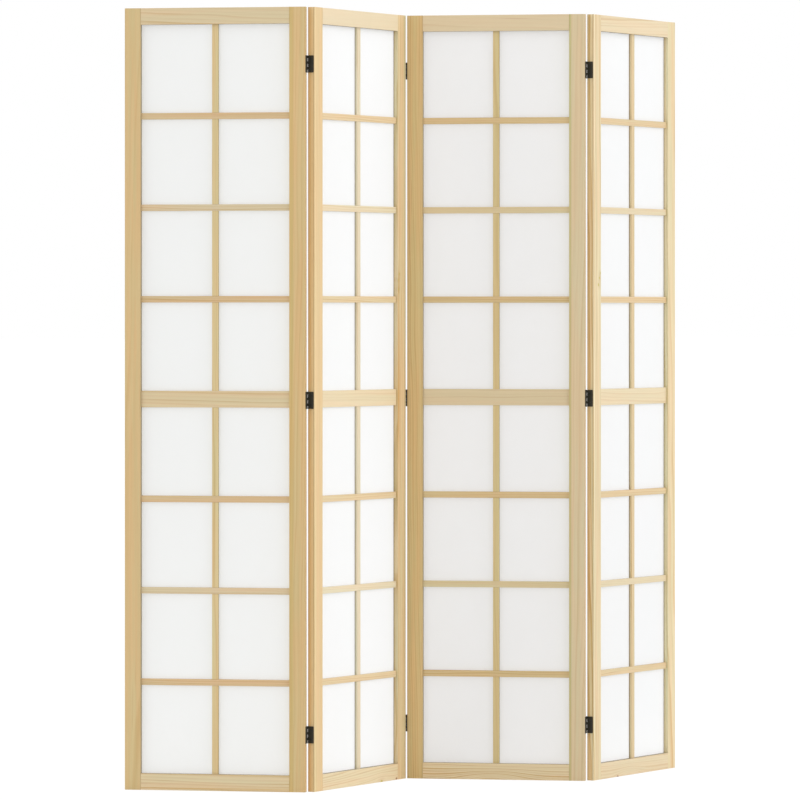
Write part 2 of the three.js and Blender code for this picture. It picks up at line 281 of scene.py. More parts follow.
# Factors on red, green and blue.
UNCHANGED = (1, 1, 1)
EARLYWOOD = (1.05, 1.06, 1.08)
LATEWOOD = (0.83, 0.69, 0.48)  # the late band of a year's ring
STREAK_RESIN = (0.93, 0.81, 0.62)
RESIN_STAIN = linear(RESIN)[:3]
END_GRAIN = (0.82, 0.76, 0.68)
# Painted shade round the panes, deeper on faces that turn to the panel's right and on the frame's level faces, and
# a painted shadow line at the paper
REVEAL_SHADE_TINT = (0.91, 0.98, 1.0)  # the faces round the panes
RIGHT_REVEAL_SHADE = (0.60, 0.57, 0.47)  # those that face the panel's right
LEVEL_REVEAL_SHADE = (0.36, 0.32, 0.28)  # those of the frame that lie level
PAPER_SHADOW_LINE = (0.42, 0.37, 0.32)
OUTER_EDGE = (1.04, 1.06, 1.05)
OUTER_EDGE_BACK = (0.95, 0.88, 0.80)
# Painted shade, with grime, on the corners of a stile's outer edge, where the panels meet
OUTER_CORNER_SHADE_AND_GRIME = (0.80, 0.78, 0.74)
MIDDLE_BAR = (1.03, 1.12, 1.27)

# Washes of colour over the wood, from one pair of factors to the other.
BOARD_WASH = (0.93, 0.915, 0.88, 1), (1.06, 1.065, 1.08, 1)
BLUSH_WASH = (1.035, 0.96, 0.885, 1), (0.965, 1.01, 0.965, 1)
STRIPE_WASH = (0.98, 0.972, 0.955, 1), (1.015, 1.02, 1.03, 1)
FIBRE_WASH = (0.94, 0.925, 0.9, 1), (1.05, 1.06, 1.07, 1)

# Noise drawn out along the grain, by what it makes: its streaks' width and length, and its seed.
STREAKS = {
    "sway": (80, 520, 0.0),
    "waver": (11, 130, 3.1),
    "patch": (26, 300, 5.7),
    "board": (48, 640, 8.3),
    "blush": (13, 260, 11.9),
    "stripe": (4.6, 420, 27.2),
    "fibre": (0.55, 34, 14.2),
    "canal": (0.42, 7.5, 17.4),
    "resin": (3.4, 170, 20.6),
}
# How dark the wood is through one year's ring, from early wood to late: stops of (place, level).
YEAR_PROFILE = (0.0, 0.12), (0.1, 0.0), (0.5, 0.14), (0.86, 1.0), (0.95, 0.9), (1.0, 0.12)
RING_SWAY = 26  # how far the rings wander along a log, slowly
RING_WAVER = 2.6  # and quickly
YEAR_SPREAD = 1.9  # how unevenly wide the years are, in years
YEAR_SPREAD_REACH = 15  # the millimetres over which that changes
CANAL_STRENGTH = 0.30
RESIN_STRENGTH = 0.34
PINE_ROUGHNESS = (0.40, 0.54)
LATE_SHINE = 0.06  # how much less rough the late bands are
PINE_RELIEF = 0.07  # in millimetres, as are the paper's and the paint's
FIBRE_RISE = 0.55  # shares of that relief
LATE_RISE = 0.35
CANAL_DIP = 0.4

# Where on a panel its wood darkens: pairs of places, in millimetres, between which it fades in.
REVEAL_SHADE_START = (0.5, 1.6)  # behind a member's front
PAPER_SHADOW_START = (-3.0, -1.4)  # from the paper
LIP_FADE = 1.5  # on each side of the lip's end
RIM_START = (-12, -1)  # from the outer edge, as is the next
EDGE_START = (-0.7, -0.3)
EDGE_BACK_START = (-1.5, 2.5)
CORNER_START = (-4.4, -1.6)  # from the front or back face
SWELL_FADE = (32, 4)  # from a rail's lower edge
SEAM_START = 0.06  # from a bar's edge, to where the seam fades out
SEAM_END = (0.5, 0.3)
SEAM_STRENGTH = 0.5

# How far a face turns to the panel's right, to the level, or up or down to show end grain.
FACES_RIGHT = (0.5, 0.9)
LIES_LEVEL = (0.4, 0.7)
SHOWS_ENDS = (0.75, 0.98)

SEED_STEP = 0.37
SEED_COUNT = 40


def pine_group():
    """The figure of a stick of pine, cut from a log whose rings run round a pith beside the stick.
    The point is (across, through, along the grain), in millimetres."""
    tree = bpy.data.node_groups.new("pine_figure", "ShaderNodeTree")
    wanted = dict.fromkeys(("Point", "Pith"), "Vector")
    wanted |= dict.fromkeys(("Ring width", "Slope", "Swell", "Contrast", "Figure", "Seed"), "Float")
    wanted["Tone"] = "Color"
    for name, kind in wanted.items():
        tree.interface.new_socket(name, in_out="INPUT", socket_type="NodeSocket" + kind)
    for name, kind in {"Color": "Color", "Roughness": "Float", "Height": "Float"}.items():
        tree.interface.new_socket(name, in_out="OUTPUT", socket_type="NodeSocket" + kind)
    net = Net(tree)
    given = net.add("NodeGroupInput").outputs
    point, seed, tone = given["Point"], given["Seed"], given["Tone"]

    def streaks(made, **options):
        wide, long, shift = STREAKS[made]
        stretched = net.vector("DIVIDE", point, (wide, wide, long))
        return net.noise(stretched, net.total(seed, shift), **options)

    across, through, along = net.split(net.vector("SUBTRACT", point, given["Pith"]))
    squares = net.total(net.math("POWER", across, 2.0), net.math("POWER", through, 2.0))
    lean = net.math("SUBTRACT", net.product(along, given["Slope"]), given["Swell"])
    sway = net.product(streaks("sway"), RING_SWAY)
    waver = net.product(streaks("waver"), RING_WAVER)
    radius = net.total(net.math("SQRT", squares), lean, net.total(sway, waver))
    along_radius = net.math("DIVIDE", radius, YEAR_SPREAD_REACH)
    uneven = net.noise(net.join(along_radius, 0.0, 0.0), seed, detail=1.0)
    years = net.math("DIVIDE", radius, given["Ring width"])
    years = net.total(years, net.product(uneven, YEAR_SPREAD))
    ring = net.ramp(net.math("FRACT", years), *YEAR_PROFILE)
    inputs = {"W": net.math("FLOOR", years)}
    year = net.add("ShaderNodeTexWhiteNoise", inputs, noise_dimensions="1D").outputs[0]
    patchy = net.between(streaks("patch"), 0.35, 0.65, 0.45, 1.0)
    strength = net.product(net.between(year, 0, 1, 0.3, 1.0), patchy)
    late = net.product(ring, strength, given["Contrast"])

    colour = net.mix(late, net.times(tone, EARLYWOOD), net.times(tone, LATEWOOD))
    board = net.mix(streaks("board"), *BOARD_WASH)
    blush = net.mix(net.between(streaks("blush"), 0.3, 0.7), *BLUSH_WASH)
    stripe = net.mix(net.between(streaks("stripe"), 0.36, 0.64), *STRIPE_WASH)
    for wash in (board, blush, stripe):
        colour = net.mix(given["Figure"], colour, net.mix(1.0, colour, wash, "MULTIPLY"))
    fibre = streaks("fibre", detail=3.0, roughness=0.62)
    colour = net.mix(1.0, colour, net.mix(fibre, *FIBRE_WASH), "MULTIPLY")
    canal = net.between(streaks("canal", detail=1.0), 0.70, 0.80)
    colour = net.mix(net.product(canal, CANAL_STRENGTH), colour, linear(RESIN))
    resin = net.between(streaks("resin"), 0.66, 0.80)
    colour = net.times(colour, RESIN_STAIN, net.product(resin, RESIN_STRENGTH))

    height = net.total(net.product(fibre, FIBRE_RISE), net.product(late, LATE_RISE))
    height = net.math("SUBTRACT", height, net.product(canal, CANAL_DIP))
    rough = net.between(fibre, 0.2, 0.8, *PINE_ROUGHNESS, smooth=False)
    rough = net.math("SUBTRACT", rough, net.product(late, LATE_SHINE))
    out = net.add("NodeGroupOutput").inputs
    for name, value in (("Color", colour), ("Roughness", rough), ("Height", height)):
        tree.links.new(value, out[name])
    return tree


PINE = pine_group()

# How far the grain is swept round a knot, and how long the knot is, against its radius.
SWEEP_ACROSS = 2.1
SWEEP_ALONG = 5.5
KNOT_LENGTH = 1.5
SWEEP_SHARE = 0.8  # of the way out of the knot
KNOT_WOBBLE = 0.5
# How a knot is painted, at distances in its own radii.
KNOT_STAIN = (2.6, 0.9)
KNOT_END = 1.05
KNOT_RINGS = 4.0
BARK_START = (0.78, 0.95)
BARK_END = (1.14, 1.0)
BARK_STRENGTH = 0.75
# Each kind of knot: its heart, the factors of its rings, how much resin stains the wood round it,
# and how far out its full colour reaches.
KNOT_KINDS = {
    "dark": (KNOT_WOOD, (0.72, 0.66, 0.6), 0.45, 0.85),
    "olive": (OLIVE_KNOT, (0.9, 0.9, 0.8), 0.12, 0.5),
}


def spread_by_knot(net, point, knot):
    """The point with the grain swept round a knot (across, along, radius), and how far it is from
    the knot, in the knot's radii."""
    at_across, at_along, radius = knot
    across, through, along = net.split(point)
    aside = net.math("SUBTRACT", across, at_across)
    ahead = net.math("SUBTRACT", along, at_along)
    reach_aside = net.math("DIVIDE", aside, SWEEP_ACROSS * radius)
    reach_ahead = net.math("DIVIDE", ahead, SWEEP_ALONG * radius)
    reach = net.join(reach_aside, reach_ahead, 0.0)
    sweep = net.math("EXPONENT", net.product(net.dot(reach, reach), -1.0))
    kept = net.math("SUBTRACT", 1.0, net.product(sweep, SWEEP_SHARE))
    moved = net.total(net.product(aside, kept), at_across)
    near = net.length(net.join(aside, net.math("DIVIDE", ahead, KNOT_LENGTH), 0.0))
    wobble = net.noise(net.vector("DIVIDE", point, (radius,) * 3), at_along)
    distance = net.total(near, net.product(wobble, KNOT_WOBBLE * radius))
    return net.join(moved, through, along), net.math("DIVIDE", distance, radius)


def with_knot(net, colour, distance, kind):
    """The wood's colour with a knot painted at distances under about 1: a dark knot in its ring of
    bark, or only an olive stain."""
    heart_colour, ring_factors, stain, full = KNOT_KINDS[kind]
    colour = net.times(colour, RESIN_STAIN, net.between(distance, *KNOT_STAIN, 0.0, stain))
    heartwood = linear(heart_colour)
    ringed = net.between(net.math("FRACT", net.product(distance, KNOT_RINGS)), 0.3, 0.9)
    heart = net.mix(ringed, heartwood, shaded(heartwood, ring_factors))
    colour = net.mix(net.between(distance, KNOT_END, full), colour, heart)
    if kind == "olive":
        return colour
    bark = net.product(net.between(distance, *BARK_START), net.between(distance, *BARK_END))
    return net.mix(net.product(bark, BARK_STRENGTH), colour, linear(KNOT_BARK))


def with_streak(net, colour, point, streak):
    """The wood's colour with a streak of resin (across, along, half-width, half-length) in it."""
    at_across, at_along, half_width, half_length = streak
    across, _, along = net.split(point)
    aside = net.math("DIVIDE", net.math("SUBTRACT", across, at_across), half_width)
    ahead = net.math("DIVIDE", net.math("SUBTRACT", along, at_along), half_length)
    reach = net.length(net.join(aside, ahead, 0.0))
    return net.times(colour, STREAK_RESIN, net.between(reach, 1.1, 0.2))


def paint_reveal_shade(net, colour, place, number, front):
    """Painted shade on the faces round the panes, deeper on those that face the panel's right and on
    the frame's faces that lie level, and a painted shadow line where they meet the paper. The
    member's front face, at the given y, keeps its colour."""
    x, y, z = net.split(place)
    normal = net.add("ShaderNodeTexCoord").outputs["Normal"]
    panel_right = PLACE[number].to_3x3() @ Vector((1, 0, 0))
    rightwards = net.between(net.dot(normal, panel_right), *FACES_RIGHT)
    off_middle = net.math("ABSOLUTE", net.math("SUBTRACT", z, PANEL_HEIGHT / 2))
    beside = net.math("LESS_THAN", net.math("ABSOLUTE", x), INNER_HALF_WIDTH + 0.2)
    within = net.product(beside, net.math("LESS_THAN", off_middle, INNER_HALF_HEIGHT + 0.45))
    # Painted shade on the faces round the panes
    sides = net.product(within, net.between(y, *shifted(REVEAL_SHADE_START, front)))
    colour = net.times(colour, REVEAL_SHADE_TINT, sides)
    colour = net.times(colour, RIGHT_REVEAL_SHADE, net.product(sides, rightwards))
    if front == FRAME_FRONT:
        level = net.between(net.math("ABSOLUTE", net.split(normal)[2]), *LIES_LEVEL)
        colour = net.times(colour, LEVEL_REVEAL_SHADE, net.product(within, level))
    # A painted shadow line where those faces meet the paper
    paper_shadow = net.product(within, net.between(y, *shifted(PAPER_SHADOW_START, PAPER_FACE)))
    return net.times(colour, PAPER_SHADOW_LINE, paper_shadow)


def darken_edges(net, colour, place, rim_shade_and_highlight, lip):
    """A stile's edges: painted shade and highlight along the outer edge of its front, and its lip, as
    in Wood; browner towards the back of the outer edge; and darker corners, partly grime and
    partly painted shade where the panels meet."""
    x, y, _ = net.split(place)
    from_middle = net.math("ABSOLUTE", x)
    lip_factors, lip_reach = lip
    lip_end = INNER_HALF_WIDTH + lip_reach
    inner = net.between(from_middle, lip_end + LIP_FADE, lip_end - LIP_FADE)
    colour = net.times(colour, lip_factors, inner)
    on_edge = net.between(from_middle, *shifted(EDGE_START, PANEL_HALF_WIDTH))
    off_edge = net.math("SUBTRACT", 1.0, on_edge)
    # Painted shade beside a fold and painted highlight along the arris, in a band along the front's outer edge
    outermost = net.between(from_middle, *shifted(RIM_START, PANEL_HALF_WIDTH))
    colour = net.times(colour, rim_shade_and_highlight, net.product(outermost, off_edge))
    colour = net.times(colour, OUTER_EDGE, on_edge)
    back = net.between(y, *EDGE_BACK_START)
    colour = net.times(colour, OUTER_EDGE_BACK, net.product(on_edge, back))
    # Painted shade, with grime, on the corners of the outer edge
    corner = net.between(net.math("ABSOLUTE", y), *shifted(CORNER_START, -FRAME_FRONT))
    return net.times(colour, OUTER_CORNER_SHADE_AND_GRIME, net.product(on_edge, corner))


def nearest_bar(net, z):
    """How far a height is from the middle of the nearest bar of the lattice, and which bar of its
    half of the panel that is, counted from 0."""
    upper = net.math("GREATER_THAN", z, PANEL_HEIGHT / 2)
    half_step = BAR_HEIGHTS[BARS_IN_HALF] - BAR_HEIGHTS[0]
    from_first = net.math("SUBTRACT", z, BAR_HEIGHTS[0])
    from_first = net.math("SUBTRACT", from_first, net.product(upper, half_step))
    turn = net.math("ROUND", net.math("DIVIDE", from_first, BAR_PITCH))
    turn = net.math("MAXIMUM", net.math("MINIMUM", turn, BARS_IN_HALF - 1), 0)
    return net.math("SUBTRACT", from_first, net.product(turn, BAR_PITCH)), turn


def from_bar(net, z):
    """How far a height is from the middle of the nearest bar, without its sign."""
    return net.math("ABSOLUTE", nearest_bar(net, z)[0])


def in_line(net, x):
    """1 where a point is as far across as the lattice's upright bar."""
    return net.math("LESS_THAN", net.math("ABSOLUTE", x), BAR_WIDTH / 2 + LAP_MARGIN)


def is_upright(net, x, z):
    """1 in the lattice's upright bar, which passes behind the horizontal bars."""
    clear = net.math("GREATER_THAN", from_bar(net, z), BAR_WIDTH / 2 + LAP_MARGIN)
    return net.product(in_line(net, x), clear)


def grain_point(net, point, along):
    """The point as (across, through, along the grain) of the member that it is in. Each bar of a
    lattice is shifted in the figure, so that no two are alike."""
    x, y, z = net.split(point)
    if along == "z":
        return net.join(x, y, z)
    if along == "x":
        return net.join(z, y, x)
    stick = net.math("FLOOR", net.math("DIVIDE", z, BAR_PITCH))
    shifted_along = net.total(x, net.product(stick, BAR_SHIFT_ALONG))
    shifted_across = net.total(z, net.product(stick, BAR_SHIFT_ACROSS))
    bar = net.join(shifted_across, y, shifted_along)
    return net.either(is_upright(net, x, z), bar, net.join(x, y, z))


def lap_seam(net, point):
    """1 in the hairline where the upright bar passes behind a horizontal one."""
    x, _, z = net.split(point)
    aside = net.math("SUBTRACT", from_bar(net, z), BAR_WIDTH / 2)
    start, end = net.between(aside, LAP_MARGIN, SEAM_START), net.between(aside, *SEAM_END)
    return net.product(in_line(net, x), net.product(start, end))


def bar_tone(net, colour, place, upright):
    """The upright in its own tone, and the middle bar of each half paler than its neighbours."""
    x, _, z = net.split(place)
    is_middle = net.math("COMPARE", nearest_bar(net, z)[1], 1, 0.1)
    bar = net.mix(is_middle, (*UNCHANGED, 1), (*MIDDLE_BAR, 1))
    tone = net.mix(is_upright(net, x, z), bar, (*upright, 1))
    return net.mix(1.0, colour, tone, "MULTIPLY")


class Wood(NamedTuple):
    """One member's wood. Places and sizes are in millimetres across, through and along its grain,
    and factors are on red, green and blue."""

    tone: tuple  # sRGB
    pith: tuple  # where the pith of its log lies: (across, through)
    ring_width: float = 5.0
    slope: float = 0.012  # how fast the rings lean along the grain
    contrast: float = 0.8  # how much the rings show
    figure: float = 1.0  # how much the washes of colour show
    swell: tuple = None  # an arch of the rings above the lower edge: (along, reach, rise)
    knots: tuple = ()  # each (across, along, radius, kind)
    streaks: tuple = ()  # of resin, each (across, along, half-width, half-length)
    upright: tuple = UNCHANGED  # factors on a lattice's upright bar
    # Below 1, painted shade beside a fold; above 1, a painted highlight along the front's arris
    rim_shade_and_highlight: tuple = UNCHANGED  # factors on a stile's front along its outer edge
    lip: tuple = (UNCHANGED, 1)  # factors along a stile's panes, and how far they reach


def pine(name, number, piece, wood):
    """Satin-varnished pine for one member of a panel."""
    material, net, output = new_material(name)
    place = panel_point(net, number)
    along = grain_direction(piece)
    point = grain_point(net, place, along)
    bulge = 0.0
    if wood.swell:
        at_along, reach, rise = wood.swell
        z_across, _, x_along = net.split(point)
        near_edge = net.between(z_across, *SWELL_FADE)
        bulge = net.product(net.bell(x_along, at_along, reach), near_edge, rise)
    distances = []
    for knot in wood.knots:
        point, distance = spread_by_knot(net, point, knot[:3])
        distances.append(distance)
    group = net.add("ShaderNodeGroup", node_tree=PINE)
    values = {
        "Point": point,
        "Pith": (*wood.pith, 0),
        "Ring width": wood.ring_width,
        "Slope": wood.slope,
        "Swell": bulge,
        "Contrast": wood.contrast,
        "Figure": wood.figure,
        "Seed": sum(map(ord, name)) * SEED_STEP % SEED_COUNT,
        "Tone": linear(wood.tone),
    }
    for socket, value in values.items():
        net.put(group.inputs[socket], value)
    colour, rough, height = [group.outputs[key] for key in ("Color", "Roughness", "Height")]
    for streak in wood.streaks:
        colour = with_streak(net, colour, point, streak)
    for knot, distance in zip(wood.knots, distances):
        colour = with_knot(net, colour, distance, knot[3])
    if along == "z":
        normal = net.add("ShaderNodeNewGeometry").outputs["Normal"]
        up = net.math("ABSOLUTE", net.split(normal)[2])
        colour = net.times(colour, END_GRAIN, net.between(up, *SHOWS_ENDS))
        colour = darken_edges(net, colour, place, wood.rim_shade_and_highlight, wood.lip)
    if along == "lattice":
        colour = bar_tone(net, colour, place, wood.upright)
        seam = net.product(lap_seam(net, place), SEAM_STRENGTH)
        colour = net.mix(seam, colour, linear(KNOT_BARK))
    front = LATTICE_FRONT if piece in ("lattice", "middle_rail") else FRAME_FRONT
    colour = paint_reveal_shade(net, colour, place, number, front)
    normal = bumped(net, height, PINE_RELIEF)
    inputs = {"Base Color": colour, "Roughness": rough, "Normal": normal}
    shader = net.add("ShaderNodeBsdfPrincipled", inputs)
    net.put(output.inputs["Surface"], shader.outputs[0])
    return material


# Panels 1 and 3, which turn away from the key light, have darker tones than panels 2 and 4: partly painted shade
WOOD = {
    (1, "stile_left"): Wood(
        (221, 193, 143), pith=(-150, 90), ring_width=7.0, contrast=0.4, lip=((0.78, 0.78, 0.82), 1)
    ),
    (1, "stile_right"): Wood(
        (223, 194, 143), pith=(255, 30), ring_width=7.0, contrast=0.45, lip=((0.93, 0.93, 0.78), 9)
    ),
    (1, "top_rail"): Wood(
        (227, 207, 170), pith=(1610, 60), ring_width=6.0, slope=0.02, contrast=0.9, figure=0.6
    ),
    (1, "middle_rail"): Wood(
        (227, 207, 169), pith=(790, 70), ring_width=6.4, contrast=0.7, figure=0.7
    ),
    (1, "bottom_rail"): Wood(
        (233, 214, 177),
        pith=(-70, 22),
        ring_width=6.4,
        slope=0.006,
        contrast=1.2,
        figure=0.7,
        streaks=((5, 20, 1.8, 300), (2, 150, 1.2, 260)),
    ),
    (1, "lattice"): Wood((223, 195, 154), pith=(-60, 40), upright=(1.03, 1.11, 1.03)),
    (2, "stile_left"): Wood(
        (233, 203, 155),
        pith=(-260, 80),
        ring_width=6.5,
        contrast=0.4,
        figure=0.6,
        rim_shade_and_highlight=(1.06, 1.13, 1.15),
    ),
    (2, "stile_right"): Wood(
        (232, 209, 169),
        pith=(235, -20),
        ring_width=6.5,
        contrast=1.3,
        rim_shade_and_highlight=(0.80, 0.87, 0.84),
        streaks=((168, 852, 6, 190),),
        knots=((171, 1124, 3.2, "olive"), (168, 1111, 2.4, "olive"), (168, 1090, 2.6, "olive")),
    ),
    (2, "top_rail"): Wood(
        (237, 218, 184), pith=(1790, 130), ring_width=9.0, contrast=0.15, figure=0.25
    ),
    (2, "middle_rail"): Wood(
        (238, 219, 184), pith=(795, 44), ring_width=6.2, contrast=0.35, figure=0.5
    ),
    (2, "bottom_rail"): Wood(
        (238, 219, 184),
        pith=(64, 34),
        ring_width=4.6,
        slope=0.04,
        contrast=0.9,
        figure=0.6,
        knots=((1, 92, 6.5, "olive"), (3, 158, 2.0, "dark")),
    ),
    (2, "lattice"): Wood((234, 211, 172), pith=(70, 50), figure=0.7, upright=(1.005, 1.11, 1.32)),
    (3, "stile_left"): Wood(
        (219, 192, 138),
        pith=(-232, 24),
        ring_width=4.6,
        contrast=0.9,
        rim_shade_and_highlight=(0.92, 0.92, 0.94),
        lip=((0.86, 0.86, 0.92), 1.5),
    ),
    (3, "stile_right"): Wood(
        (225, 205, 169),
        pith=(250, 60),
        ring_width=6.0,
        contrast=0.5,
        figure=0.8,
        lip=((0.81, 0.87, 0.66), 5),
    ),
    (3, "top_rail"): Wood(
        (228, 207, 170), pith=(1600, 90), ring_width=7.0, contrast=0.3, figure=0.3
    ),
    (3, "middle_rail"): Wood(
        (225, 204, 166), pith=(925, 60), ring_width=6.0, contrast=0.5, figure=0.4
    ),
    (3, "bottom_rail"): Wood(
        (236, 215, 177),
        pith=(-42, 12),
        ring_width=4.6,
        slope=0.004,
        contrast=1.6,
        figure=0.5,
        swell=(-8, 75, 16),
    ),
    (3, "lattice"): Wood((221, 195, 147), pith=(-50, 70), figure=0.7, upright=(0.99, 1.04, 0.99)),
    (4, "stile_left"): Wood(
        (235, 217, 181),
        pith=(-215, 14),
        ring_width=6.5,
        contrast=1.4,
        rim_shade_and_highlight=(1.13, 1.18, 1.25),
        knots=((-167, 1126, 3.5, "olive"), (-170, 1115, 3.5, "olive"), (-175, 1100, 4.5, "olive")),
    ),
    (4, "stile_right"): Wood((236, 218, 180), pith=(150, 80), ring_width=7.0, contrast=0.9),
    (4, "top_rail"): Wood(
        (237, 218, 184), pith=(1760, 60), ring_width=7.0, contrast=0.6, figure=0.5
    ),
    (4, "middle_rail"): Wood(
        (237, 218, 183), pith=(790, 50), ring_width=6.0, contrast=0.6, figure=0.5
    ),
    (4, "bottom_rail"): Wood(
        (235, 215, 180),
        pith=(-40, 30),
        ring_width=5.2,
        slope=0.02,
        figure=0.5,
        swell=(-26, 52, 11),
        knots=((0, -84, 2.6, "dark"),),
    ),
    (4, "lattice"): Wood((228, 204, 163), pith=(90, 36), figure=0.7, upright=(0.98, 0.985, 0.97)),
}


def grain_direction(piece):
    if piece == "lattice":
        return "lattice"
    return "x" if piece.endswith("rail") else "z"


def repaint(node, material):
    """Gives a CAD node a material in place of its plain one."""
    for slot in frame["nodes"][node].material_slots:
        slot.material = material


def paint_wood():
    for (number, piece), wood in WOOD.items():
        node = f"panel_{number}_{piece}"
        repaint(node, pine("pine_" + node, number, piece, wood))


# ---- paper ---------------------------------------------------------------------------------------

PAPER_THROUGH = 0.42  # share of the light that a sheet lets through
PAPER_CLOUDS = (0.982, 0.980, 0.975, 1), (1.0, 1.0, 1.0, 1)
PAPER_FIBRE = (0.955, 0.95, 0.935)  # factors on red, green and blue, as in the tints
# Panel 3's darker factors are painted shade; the others are the paper's own tint
PAPER_TINT_AND_SHADE = {1: (1.0, 1.0, 0.985), 2: UNCHANGED, 3: (0.985, 0.972, 0.962), 4: UNCHANGED}
PAPER_ROUGHNESS = 0.85
PAPER_GLOSS = 0.2
PAPER_RELIEF = 0.03
CLOUD_SIZE = (42, 42, 60)
TOOTH_SIZE = (0.9, 0.9, 0.9)
FIBRE_LAYS = ((0.35, 6.0), (1.9, 9.0), (2.8, 12.0))  # the direction and seed of each lay of fibres
FIBRE_SIZE = (0.5, 3, 11)
FIBRE_START = (0.70, 0.76)
FIBRE_STRENGTH = 0.5
FIBRE_DRIFT = (9, 0, 9)  # how far the fibres stray from their lay, over the next size
FIBRE_DRIFT_SIZE = (14, 14, 14)


def paper_material(number):
    """Machine-made shoji paper: white, faintly clouded, with short fibres that show up close."""
    material, net, output = new_material(f"paper_panel_{number}")
    point = panel_point(net, number)

    def field(size, seed, **options):
        return net.noise(net.vector("DIVIDE", point, size), seed + number, **options)

    cloud = net.mix(field(CLOUD_SIZE, 1.3, detail=4.0, roughness=0.6), *PAPER_CLOUDS)
    warp = net.vector("MULTIPLY", field(FIBRE_DRIFT_SIZE, 4.1, detail=1.0), FIBRE_DRIFT)
    drifted = net.vector("ADD", point, warp)
    hairs = []
    for angle, seed in FIBRE_LAYS:
        inputs = {"Vector": drifted, "Rotation": (0, angle, 0)}
        turned = net.add("ShaderNodeMapping", inputs).outputs[0]
        strands = net.noise(net.vector("DIVIDE", turned, FIBRE_SIZE), seed + number, detail=1.0)
        hairs.append(net.between(strands, *FIBRE_START))
    fibre = net.math("MAXIMUM", net.math("MAXIMUM", hairs[0], hairs[1]), hairs[2])
    colour = net.mix(1.0, cloud, shaded(linear(PAPER_WHITE), PAPER_TINT_AND_SHADE[number]), "MULTIPLY")
    colour = net.times(colour, PAPER_FIBRE, net.product(fibre, FIBRE_STRENGTH))
    tooth = field(TOOTH_SIZE, 15.0, detail=3.0)
    height = net.total(net.product(tooth, 0.5), net.product(fibre, 0.5))
    normal = bumped(net, height, PAPER_RELIEF)
    inputs = {"Base Color": colour, "Roughness": PAPER_ROUGHNESS, "Normal": normal}
    inputs["Specular IOR Level"] = PAPER_GLOSS
    front = net.add("ShaderNodeBsdfPrincipled", inputs).outputs[0]
    through = net.add("ShaderNodeBsdfTranslucent", {"Color": colour, "Normal": normal}).outputs[0]
    mixed = net.add("ShaderNodeMixShader", {0: PAPER_THROUGH, 1: front, 2: through})
    net.put(output.inputs["Surface"], mixed.outputs[0])
    return material


def clear_spans(low, high, bars):
    """The paper's spans between bars, which are (start, end) pairs, as pairs of the same kind."""
    edges = [low, *[edge for bar in bars for edge in bar], high]
    return list(zip(edges[::2], edges[1::2]))


def billow(x, z, spans_x, spans_z, number):
    """How far the paper stands back from the lattice: a low swell in the middle of each pane."""
    swell = 1.0
    for value, spans in ((x, spans_x), (z, spans_z)):
        inside = [(value - start) / (end - start) for start, end in spans if start < value < end]
        swell *= math.sin(math.pi * inside[0]) if inside else 0.0
    slow = noise.noise(Vector((x / SLOW_COCKLE[0], z / SLOW_COCKLE[1], 3.0 + number)))
    quick = noise.noise(Vector((x / QUICK_COCKLE[0], z / QUICK_COCKLE[1], 9.0 + number)))
    depth = PAPER_BILLOW * (0.75 + 0.5 * slow) + PAPER_COCKLE * quick
    return math.sqrt(max(swell, 0.0)) * depth


def paper_sheet(number):
    """One sheet over the whole opening, glued to the back of the lattice and into the rabbet."""
    node = f"panel_{number}_paper"
    low, high = box_in_panel(node, number)
    columns = round((high.x - low.x) / PAPER_STEP)
    rows = round((high.z - low.z) / PAPER_STEP)
    half = BAR_WIDTH / 2
    spans_x = clear_spans(low.x + PAPER_LAP, high.x - PAPER_LAP, [(-half, half)])
    across = sorted([(z - half, z + half) for z in BAR_HEIGHTS] + [MIDDLE_RAIL])
    spans_z = clear_spans(low.z + PAPER_LAP, high.z - PAPER_LAP, across)
    shape = bmesh.new()
    grid = []
    for row in range(rows + 1):
        z = low.z + (high.z - low.z) * row / rows
        line = []
        for column in range(columns + 1):
            x = low.x + (high.x - low.x) * column / columns
            y = low.y + billow(x, z, spans_x, spans_z, number)
            line.append(shape.verts.new(PLACE[number] @ (Vector((x, y, z)) * MM)))
        grid.append(line)
    for lower, upper in zip(grid, grid[1:]):
        for i in range(columns):
            shape.faces.new((lower[i], lower[i + 1], upper[i + 1], upper[i]))
    return finish_mesh(f"paper_{number}", shape, paper_material(number), smooth=True)


def finish_mesh(name, shape, material, smooth=False):
    """The mesh as a piece of the scene."""
    mesh = bpy.data.meshes.new(name)
    shape.to_mesh(mesh)
    shape.free()
    if smooth:
        mesh.shade_smooth()
        mesh.set_sharp_from_angle(angle=SHARP_ANGLE)
    mesh.materials.append(material)
    piece = bpy.data.objects.new(name, mesh)
    bpy.context.scene.collection.objects.link(piece)
    return piece


def hang_paper():
    for number in PANELS:
        piece = paper_sheet(number)
        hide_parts(f"panel_{number}_paper")
        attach(piece, f"panel_{number}")


# ---- hinges --------------------------------------------------------------------------------------

# Factors on red, green and blue.
PAINT_CLOUDS = (0.8, 0.8, 0.8), (1.3, 1.28, 1.25)
# The knuckles' darker, browner colour
DARKER_BARREL = (0.36, 0.27, 0.16)

PAINT_GRAIN = 0.6  # sizes, in millimetres
PAINT_CLOUD = 7
RUBBED_REACH = 0.35
PAINT_RELIEF = 0.02
PAINT_SHEEN = 0.35
RUBBED_START = (0.02, 0.22)  # how much the bevelled normal leaves the flat one
RUBBED_PATCHES = (0.4, 0.65)
BARREL_END = (1.12, 1.04)  # in radii from the axis
BARREL_FRONT = (-0.45, -0.85)  # in radii in front of it
# How strong a painted highlight of bare steel is on the knuckles, on the left leaves of the folds that stand
# forwards.
KNUCKLE_HIGHLIGHT = {"hinge_12": 0.95, "hinge_34": 0.8}


